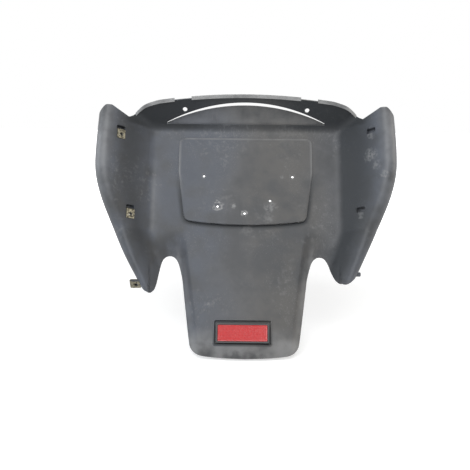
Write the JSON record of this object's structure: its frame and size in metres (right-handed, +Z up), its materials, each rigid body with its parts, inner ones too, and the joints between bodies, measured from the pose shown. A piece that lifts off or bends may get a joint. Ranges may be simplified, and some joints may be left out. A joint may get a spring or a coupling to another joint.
{
  "type": "motorcycle rear mudguard",
  "caption": "Moulded rear mudguard with flared wings, an overhanging hood with a lamp window, a raised plate pad and a tail with a red reflector.",
  "frame": {"origin": "middle of the two bolt holes on the underside of the hood", "axes": "+Z up, -Y to the rear where the plate pad faces, +X to the right seen from the rear"},
  "size_m": [0.4184, 0.1406, 0.3521],
  "materials": {
    "moulding": "faded satin",
    "tray": "satin black",
    "lens": "gloss, prismatic",
    "fasteners": "zinc plated",
    "clips": "dull zinc, a little yellow"
  },
  "bodies": {
    "root": {"mudguard_moulding": "moulding", "reflector_base": "tray", "reflector_lens": "lens", "reflector_studs": "fasteners", "reflector_washers": "fasteners", "reflector_nuts": "fasteners", "left_upper_clip_nut": "clips", "left_lower_clip_nut": "clips", "left_tip_clip_nut": "clips"}
  },
  "joints": []
}
